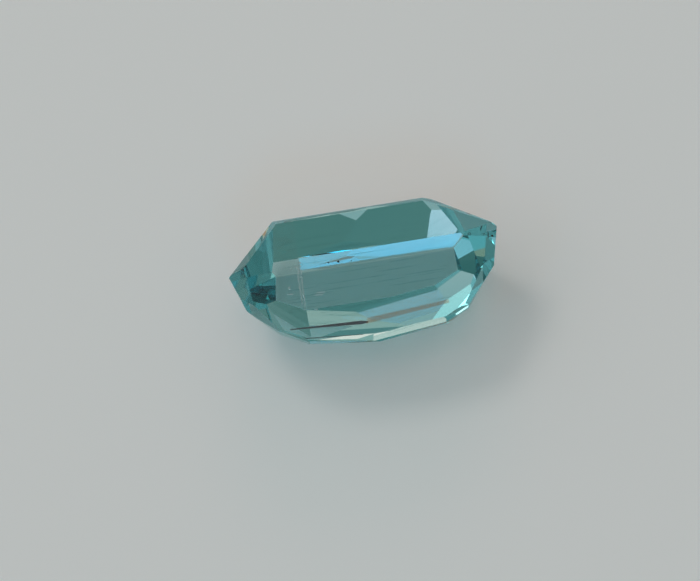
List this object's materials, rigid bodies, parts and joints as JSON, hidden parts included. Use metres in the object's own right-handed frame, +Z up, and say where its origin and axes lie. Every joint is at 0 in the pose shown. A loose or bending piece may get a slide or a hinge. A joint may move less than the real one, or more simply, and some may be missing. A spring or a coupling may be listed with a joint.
{
  "type": "faceted emerald",
  "caption": "A loose, clear blue-green step-cut stone: a long flat table, thin bevelled crown, narrow girdle and stepped pavilion with a flat bottom",
  "frame": {"origin": "on the flat bottom facet, under the middle of the girdle's length and width", "axes": "+X along the stone's length, +Y across it towards its straightest long side, +Z up out of the table"},
  "size_m": [0.0101, 0.0058, 0.003],
  "materials": {
    "crystal": "polished, clear, pale blue-green"
  },
  "bodies": {
    "root": {"emerald": "crystal"}
  },
  "joints": []
}
